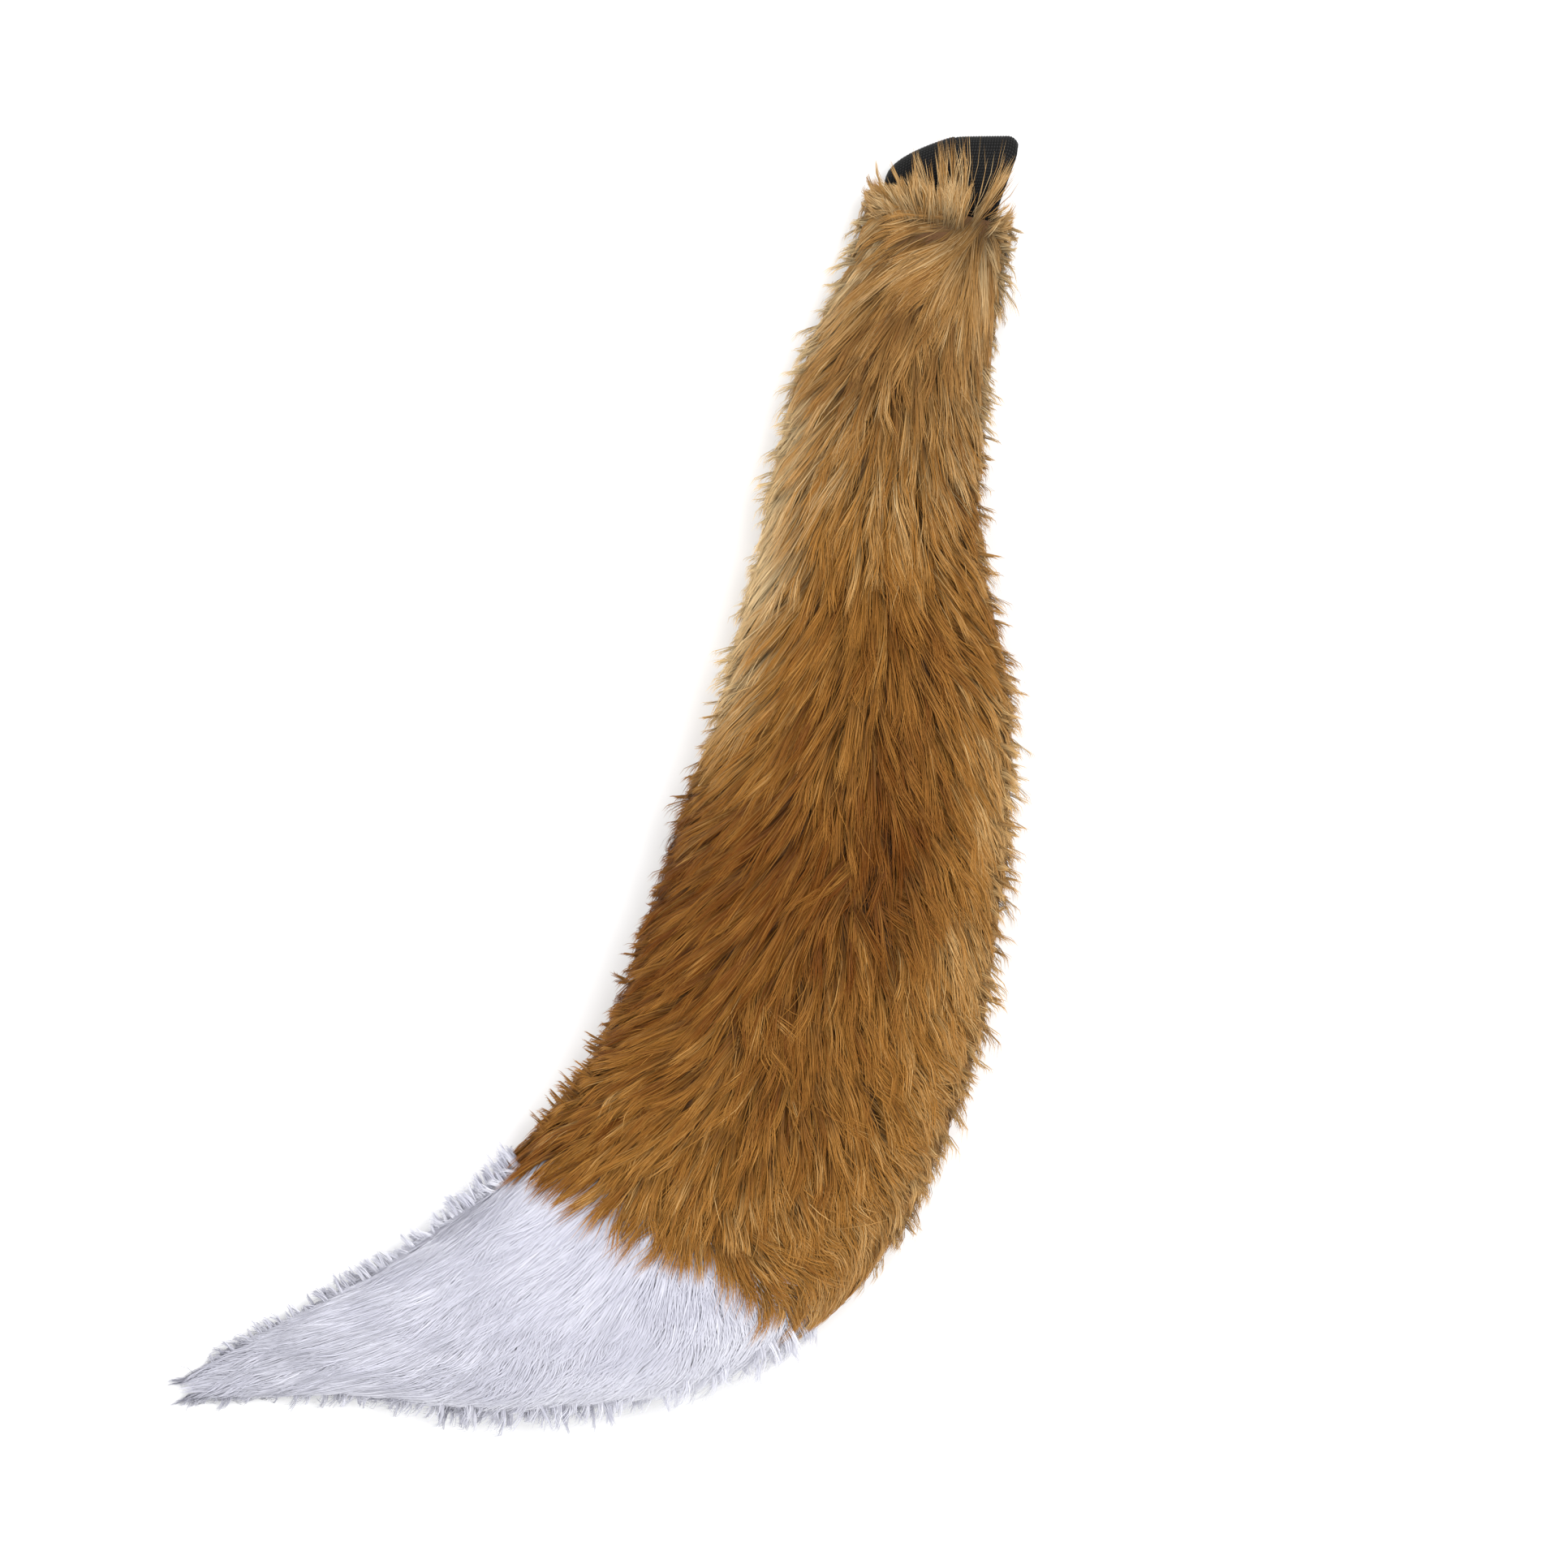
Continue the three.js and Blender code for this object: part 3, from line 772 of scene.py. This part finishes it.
for number, name in enumerate(["top", "upper", "middle", "lower"]):
    places = plant(PIECE_ENDS[number], PIECE_ENDS[number + 1], LOCK_SPACING)
    if name == "lower":
        combed = plant(TAN_STOP, TAN_LENGTH + COMBED_PAST, LOCK_SPACING)
        places = np.vstack([places, combed[combed[:, 0] < tan_end(combed[:, 1])]])
    hair_piece(f"tan_fur_{name}", body_locks(places, HAIRS_IN_LOCK, PATCH), TAN_FUR)

# The crown itself, where hairs part in all directions, is filled with more locks
CROWN_LOCKS = 44
crown_distance = random.uniform(TOP_START, 0.006, CROWN_LOCKS)
crown_around = -random.uniform(0.25, 0.95, CROWN_LOCKS)
crown_hairs = body_locks(np.stack([crown_distance, crown_around], axis=1), 34, 0.0045)

# %% [markdown]
# ## The white point
#
# The white fur is finer and was combed smoother, so its locks are longer, lie closer and hardly part. They
# shorten towards the point.

# %% White locks
WHITE_LOCK_LENGTH = 0.040
WHITE_RISE = (0.34, 0.46)
WHITE_SPACING = 0.0058
WHITE_HAIRS_IN_LOCK = 29
WHITE_START, WHITE_MIDDLE, WHITE_STOP = TAN_LENGTH + 0.003, 0.462, TAIL_LENGTH - 0.006
POINT_START = WHITE_MIDDLE + 0.001


def white_locks(start, end):
    places = plant(start, end, WHITE_SPACING)
    places = places[places[:, 0] > tan_end(places[:, 1])]  # past the seam the tan locks take their place
    distance, around = places[:, 0], places[:, 1]
    covered = tan_end(around)
    count = len(places)
    outer = smoothstep(-np.sin(around), 0.3, 1.0)
    near_end = smoothstep(distance, 0.50, TAIL_LENGTH)
    length = WHITE_LOCK_LENGTH * random.uniform(0.9, 1.1, count) * (1 - 0.7 * near_end)
    under_tan = 1 - smoothstep(distance, covered, covered + 0.025)
    rise = random.uniform(*WHITE_RISE, count) * (1 + near_end) * (1 - 0.5 * under_tan)
    direction = pile_direction(distance, around) + random.standard_normal(count) * (0.03 + 0.25 * near_end)
    # painted light: the white fur is lighter along its outer side and at its sides, where it would lie in its
    # own shade
    edge = smoothstep(np.abs(np.sin(around)), 0.72, 0.98)
    shade = 0.55 + 0.42 * outer * (1 - near_end) + 0.1 * edge
    shade = shade + 0.10 * waves(distance, around, 0.04, 8) + 0.03 * random.standard_normal(count)
    locks = {"places": places, "direction": direction, "length": length, "rise": rise, "shade": shade}
    locks["worn"] = 0.8 * smoothstep(distance, 0.45, 0.56)
    return grow(locks, WHITE_HAIRS_IN_LOCK, WHITE_SPACING, draw_in=0.4, unevenness=0.04)


hair_piece("white_fur_upper", white_locks(WHITE_START, WHITE_MIDDLE), WHITE_FUR, roll=0.1)
hair_piece("white_fur_point", white_locks(POINT_START, WHITE_STOP), WHITE_FUR, roll=0.1)

# %% [markdown]
# ## Wisps at the edge
#
# Where the form turns away, single small bundles stand clear of it and end in sharp points. They give the
# tail its bristling edge against the table. Most are short, and some stand up to 6 mm past the pile.

# %% Shades along the edges
SEAM_ENDS = (TAN_LENGTH, TAN_LENGTH + 0.25 * COMBED_PAST)  # of the tan edge, on the inner and the outer side


def tan_edge_shade(distance, around):
    # painted light: the tan wisps are lighter than the locks beside them, most near the top, where they stand
    # low in the pile's shade
    return tan_shade(distance, around) + 0.10 + 0.15 * (1 - smoothstep(distance, 0.05, 0.12))


def white_edge_shade(distance, around):
    # painted light: the white wisps are nearly white though they stand in the fur's shade; greyer towards the
    # point
    return 0.85 - 0.3 * smoothstep(distance, 0.45, 0.56)


def white_edge_worn(distance, around):
    return 0.1 + 0.6 * smoothstep(distance, 0.45, 0.56)


# How light the wisps are and how many of their hairs are worn
TAN_EDGE = (tan_edge_shade, tan_worn)
WHITE_EDGE = (white_edge_shade, white_edge_worn)
print("tan edge ends at", SEAM_ENDS)


# %% Wisps
def wisps(count, start, end, reach, edge, hairs=14, patch=0.0019, lean=50):
    """Spikes along both edges. start, end: the range along the tail on the inner side and on the outer side;
    reach: least and most past the ordinary pile; lean: degrees from straight down the tail."""
    shade_at, worn_at = edge
    outer_side = random.random(count) < 0.5
    side = np.where(outer_side, -1, 1)
    low, high = [np.where(outer_side, pair[1], pair[0]) for pair in (start, end)]
    distance = low + (high - low) * random.random(count)
    around = side * np.radians(random.uniform(66, 96, count))
    near_end = smoothstep(distance, TAIL_LENGTH - 0.05, TAIL_LENGTH)
    direction = side * math.radians(lean) * (1 - 0.5 * near_end) + random.standard_normal(count) * 0.3
    length = random.uniform(0.007, 0.014, count)
    pile = PILE_RISE * np.interp(distance / TAIL_LENGTH, FINE, PILE)
    rise = 0.45 + random.uniform(*reach, count) / pile
    shade = shade_at(distance, around) + 0.05 * random.standard_normal(count)
    locks = {"places": np.stack([distance, around], axis=1), "direction": direction, "length": length}
    locks.update(rise=rise, shade=shade, worn=worn_at(distance, around))
    return grow(locks, hairs, patch, draw_in=1.0, hair_width=0.0003, stray=0)


# %% Wisps along the tan edges and the white ones
TOP_WISPS = (-0.006, -0.006)
tan_wisps = [
    wisps(700, TOP_WISPS, SEAM_ENDS, (0, 0.0025), TAN_EDGE),
    wisps(190, TOP_WISPS, SEAM_ENDS, (0.0025, 0.0062), TAN_EDGE, 12, 0.0015),
    wisps(46, (-0.012, -0.012), (0.026, 0.012), (0.001, 0.0045), TAN_EDGE, 12, 0.0014, lean=85),
]
hair_piece("tan_fur_wisps", join(tan_wisps), TAN_FUR)

white_starts = [end + 0.016 for end in SEAM_ENDS]
point_ends = (TAIL_LENGTH - 0.001, TAIL_LENGTH - 0.001)
white_wisps = [
    wisps(440, white_starts, point_ends, (0, 0.0025), WHITE_EDGE),
    wisps(210, white_starts, point_ends, (0.0025, 0.0065), WHITE_EDGE, 10, 0.0014),
]
hair_piece("white_fur_wisps", join(white_wisps), WHITE_FUR, roll=0.4)

# %% [markdown]
# ## The tuft over the loops
#
# Along the top seam the fur stands up in front of the loops and behind them, long and thin enough for the
# black webbing to show between its tips. Beside the loops it leans outwards.

# %% Locks along the top seam
# Places to the right of the seam's middle, with the way a lock leans there and how long it is
TUFT_PLACES = [-0.034, -0.018, -0.008, 0.010, 0.016, 0.022, 0.032]
TUFT_LEANS = np.radians([-84, -40, -10, 4, 30, 38, 100])
TUFT_LENGTHS = [0.014, 0.016, 0.028, 0.034, 0.037, 0.026, 0.012]
TUFT_ROOTS = (-0.014, -0.005)
TUFT_HALF_WIDTH = 0.036


def tuft(low, high, count, hairs, patch, front=True, share=1.0, lean_spread=0.13, draw_in=0.95):
    """Locks along the seam between two places beside its middle, standing up before or behind the loops."""
    lateral = random.uniform(low, high, count)
    distance = random.uniform(*TUFT_ROOTS, count)
    around = -np.arcsin(np.clip(lateral / TUFT_HALF_WIDTH, -0.97, 0.97))
    around = around if front else math.pi - around
    _, down, aside, _, _ = surface_frame(distance, around)
    lean = np.interp(lateral, TUFT_PLACES, TUFT_LEANS) + random.standard_normal(count) * lean_spread
    towards = np.stack([np.sin(lean), np.cos(lean)], axis=-1)
    length = share * np.interp(lateral, TUFT_PLACES, TUFT_LENGTHS) * random.uniform(0.72, 1.1, count)
    shade = 0.64 + 0.07 * random.standard_normal(count)
    rise = random.uniform(0.3, 1.2, count)
    locks = {"places": np.stack([distance, around], axis=1), "length": length, "rise": rise, "shade": shade}
    locks.update(direction=lie_towards(towards, down, aside), worn=np.ones(count))
    return grow(locks, hairs, patch, draw_in, hair_width=0.00028, stray=0.1)


tuft_locks = [
    tuft(-0.020, 0.012, 17, 12, 0.0014, draw_in=1.0),  # the long ones
    tuft(-0.032, 0.011, 48, 26, 0.0038, share=0.5),  # the short ones between them
    tuft(0.015, 0.019, 7, 10, 0.0011, lean_spread=0.08, draw_in=1.0),  # the spray over the right loop
    tuft(0.025, 0.034, 26, 14, 0.0016, share=0.6, lean_spread=0.3, draw_in=1.0),  # beside the right loop
    tuft(-0.036, -0.022, 26, 13, 0.0015, share=1.2, lean_spread=0.35, draw_in=1.0),  # beside the left one
    tuft(-0.030, 0.026, 44, 24, 0.0042, front=False, share=0.5),
]
hair_piece("tan_fur_tuft", join(tuft_locks + [crown_hairs]), TAN_FUR)

# %% [markdown]
# ## Long white spikes
#
# Beside the seam, on the inner side of the bend, and again under the white point, the longest white hairs
# cling into spikes that stand well clear of the edge. They are thin and catch less light than the mass of the
# fur, so they are painted greyer than the rest: painted shade.

# %% Long spikes
SPIKES_START = (TAN_LENGTH + 0.015, TAN_LENGTH + 0.070)  # on the inner side, and on the outer side
SPIKES_END = (TAN_LENGTH + 0.058, TAN_LENGTH + 0.125)


def spike_shade(distance, around):
    # painted shade: the spikes are the same white hair, painted greyer
    return np.full(len(distance), 0.5)


spike_edge = (spike_shade, white_edge_worn)
long_spikes = wisps(96, SPIKES_START, SPIKES_END, (0.002, 0.0080), spike_edge, 11, 0.0014, lean=68)
hair_piece("white_fur_spikes", long_spikes, WHITE_FUR, roll=0.4)

# %% [markdown]
# ## Webbing loops
#
# Each loop is a strip of ribbed webbing, doubled over, whose two ends are sewn into the seam together. The
# left loop has slumped to the left. The right loop is drawn in at the seam, so that its back leg shows. The
# ribs are shaped into the strip, and the finer picks of the weave across them are left to its finish.

# %% Webbing
FOLD_OUTSIDE = 0.006  # from the middle of a loop to its outside
FOLD_HEIGHT = LOOP_HEIGHT - FOLD_OUTSIDE
NECK_MIDDLE, NECK_TOP = 0.004, 0.010  # over the seam, where the legs are half apart and apart
TAB_START = -TAB_DEPTH + 0.001
PATH_POINTS = 92
RIBS = 24
RIB_RELIEF = 0.00013
RIB_SINK = 0.0001  # so that the ribs end at the webbing's own thickness
EDGE_POWER = 14  # how squarely the webbing ends at its woven edges
SELVEDGE_OUT = 0.0003  # the woven edges bulge, so the two loops touch
PICK_SPACING = 0.0012


def webbing_finish():
    finish = Finish("black_webbing", Roughness=0.75, Specular_IOR_Level=0.2)
    across, along = finish.map_axes("weave")
    pick = (along * (2 * math.pi / PICK_SPACING)).sine() * 0.5 + 0.5
    rib = (across * (RIBS * 2 * math.pi)).sine() * 0.5 + 0.5
    # lighter where picks cross the ribs: the weave's own pattern, and partly a painted highlight on its
    # crests
    finish.feed("Base Color", finish.mix(pick * rib, (0.0012, 0.0012, 0.0012), (0.024, 0.0236, 0.023)))
    relief = finish.node("ShaderNodeBump", inputs={"Height": pick, "Strength": 0.6, "Distance": 0.0002})
    finish.feed("Normal", relief)
    return finish.material


def loop_path():
    """A loop seen from its edge: points (up, front) from one sewn end over the fold to the other, the way
    their face looks, and how far along the strip they are."""
    together = WEBBING_THICKNESS / 2
    apart = FOLD_OUTSIDE - together
    rising = [(TAB_START, together), (0.0, together)]
    rising += [(NECK_MIDDLE, 0.5 * (together + apart)), (NECK_TOP, apart)]
    angles = np.linspace(0, math.pi, 13)
    fold = [(FOLD_HEIGHT + apart * math.sin(angle), apart * math.cos(angle)) for angle in angles]
    corners = np.array(rising + fold + [(up, -front) for up, front in rising[::-1]])
    travelled = np.concatenate([[0], np.cumsum(np.linalg.norm(np.diff(corners, axis=0), axis=1))])
    along = np.linspace(0, travelled[-1], PATH_POINTS)
    path = np.stack([np.interp(along, travelled, corners[:, axis]) for axis in (0, 1)], axis=1)
    path[1:-1] = (path[:-2] + 2 * path[1:-1] + path[2:]) / 4
    slope = np.gradient(path, axis=0)
    return path, unit(np.stack([-slope[:, 1], slope[:, 0]], axis=1)), along


def webbing_section():
    """Round the webbing's section: places across it from -1 to 1 and back, and the ribbed faces' height."""
    columns = RIBS * 4
    across = np.linspace(-1, 1, columns + 1)
    edge = np.sqrt(np.maximum(1 - (np.abs(across) ** EDGE_POWER), 0))
    thick = (WEBBING_THICKNESS / 2 - RIB_SINK + RIB_RELIEF * np.cos(across * math.pi * RIBS)) * edge
    order = np.concatenate([np.arange(columns + 1), np.arange(columns - 1, 0, -1)])
    sign = np.concatenate([np.ones(columns + 1), -np.ones(columns - 1)])
    return across[order], thick[order] * sign


print("length of a loop's strip", loop_path()[2][-1])

# %% Loops
SLUMP_POWER = 0.45  # how suddenly a slumped fold drops at its left end
CORNER_START, CORNER_SHARE = 0.82, 0.18  # of the webbing's width
HALF_WIDTH = WEBBING_WIDTH / 2 + SELVEDGE_OUT
TOP_AXIS = AXIS_SHARE * SECTIONS[0, 3] * TAIL_DEPTH  # the height of the middle line at the top seam


def webbing_loop(name, side, slump, gather, corner, node, material):
    """side: -1 for the left loop and 1 for the right; slump: how far the fold drops at its left end;
    gather: how far the right edge is drawn in at the seam; corner: how far the fold's right end drops."""
    path, normal, along = loop_path()
    across, offset = webbing_section()
    up = path[:, None, 0] - normal[:, None, 0] * offset[None, :]
    front = path[:, None, 1] - normal[:, None, 1] * offset[None, :]
    share = (across[None, :] + 1) / 2
    raised = np.clip((path[:, None, 0] - NECK_TOP) / (FOLD_HEIGHT - NECK_TOP), 0, 1)
    near_corner = np.clip((share - CORNER_START) / CORNER_SHARE, 0, 1)
    drop = (slump * (1 - share**SLUMP_POWER) + corner * near_corner**2) * raised
    front_share = np.clip((path[:, None, 1] / WEBBING_THICKNESS + 1) / 2, 0, 1)
    drawn_in = gather * share * (0.5 + 0.5 * front_share) * (1 - raised)
    x = across[None, :] * HALF_WIDTH - drawn_in + LOOP_OFFSET + side * (WEBBING_WIDTH + LOOP_SPACING) / 2
    x = x + (up - drop) * math.tan(LOOP_LEAN) + SEAM_X
    points = np.stack([x, up - drop + SEAM_Y, front + TOP_AXIS], axis=-1)
    ring = len(across)
    faces = tube_faces(len(path), ring)
    faces.append(tuple(range(ring))[::-1])
    faces.append(tuple((len(path) - 1) * ring + column for column in range(ring)))
    piece = new_mesh(name, points.reshape(-1, 3).tolist(), faces, material)
    layer = piece.data.uv_layers.new(name="weave")
    where = np.stack([np.tile(share.ravel(), len(path)), np.repeat(along, ring)], axis=1)
    index = np.empty(len(piece.data.loops), dtype=int)
    piece.data.loops.foreach_get("vertex_index", index)
    layer.data.foreach_set("uv", where[index].ravel())
    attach(piece, "root")
    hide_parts(node)
    print(name, len(faces), "faces")


WEBBING = webbing_finish()
webbing_loop("webbing_loop_left", -1, 0.018, 0.0, 0.0, "belt_loop_left", WEBBING)
webbing_loop("webbing_loop_right", 1, 0.0005, 0.0105, 0.0028, "belt_loop_right", WEBBING)

# %% [markdown]
# ## The table, the light and the camera
#
# The photograph looks straight down on the tail on white, lit softly with a little more light from the right.
# Two wide lamps and a pale sky do the same, and the long lens keeps the tail's sides from showing.

# %% The table
FLOOR_SIZE = 6
FLOOR_COLOUR = (0.93, 0.93, 0.93, 1)


def floor():
    finish = Finish("floor", Roughness=0.9)
    finish.surface.inputs["Base Color"].default_value = FLOOR_COLOUR
    corners = [(x * FLOOR_SIZE, y * FLOOR_SIZE, 0) for x, y in ((-1, -1), (1, -1), (1, 1), (-1, 1))]
    piece = new_mesh("floor", corners, [(0, 1, 2, 3)], finish.material)


floor()
print("table", 2 * FLOOR_SIZE, "metres wide")


# %% The light
def lamp(name, place, size, power):
    light = bpy.data.lights.new(name, "AREA")
    light.shape = "DISK"
    light.size = size
    light.energy = power
    lamp_object = bpy.data.objects.new(name, light)
    lamp_object.location = place
    direction = -lamp_object.location
    lamp_object.rotation_euler = direction.to_track_quat("-Z", "Y").to_euler()
    bpy.context.collection.objects.link(lamp_object)
    print("lamp", name, "at", place)


lamp("key", (1.0, 0.6, 2.4), 1.7, 45)
lamp("fill", (-1.1, -0.5, 2.1), 2.0, 24)
world = bpy.data.worlds.new("studio")
world.use_nodes = True
world.node_tree.nodes["Background"].inputs["Color"].default_value = (1, 1, 1, 1)
world.node_tree.nodes["Background"].inputs["Strength"].default_value = 0.92
bpy.context.scene.world = world
bpy.context.scene.view_settings.view_transform = "Standard"

# %% The camera
CAMERA_PLACE = (0.0732, -0.0011, 4.0)
FRAME_WIDTH = 0.618  # of what the photograph takes in, at the height of the tail's middle line
MIDDLE_HEIGHT = 0.04
camera = bpy.data.cameras.new("camera")
camera.sensor_width = 36
camera.lens = camera.sensor_width * (CAMERA_PLACE[2] - MIDDLE_HEIGHT) / FRAME_WIDTH
camera_object = bpy.data.objects.new("camera", camera)
camera_object.location = CAMERA_PLACE
bpy.context.collection.objects.link(camera_object)
bpy.context.scene.camera = camera_object
print("lens", camera.lens)
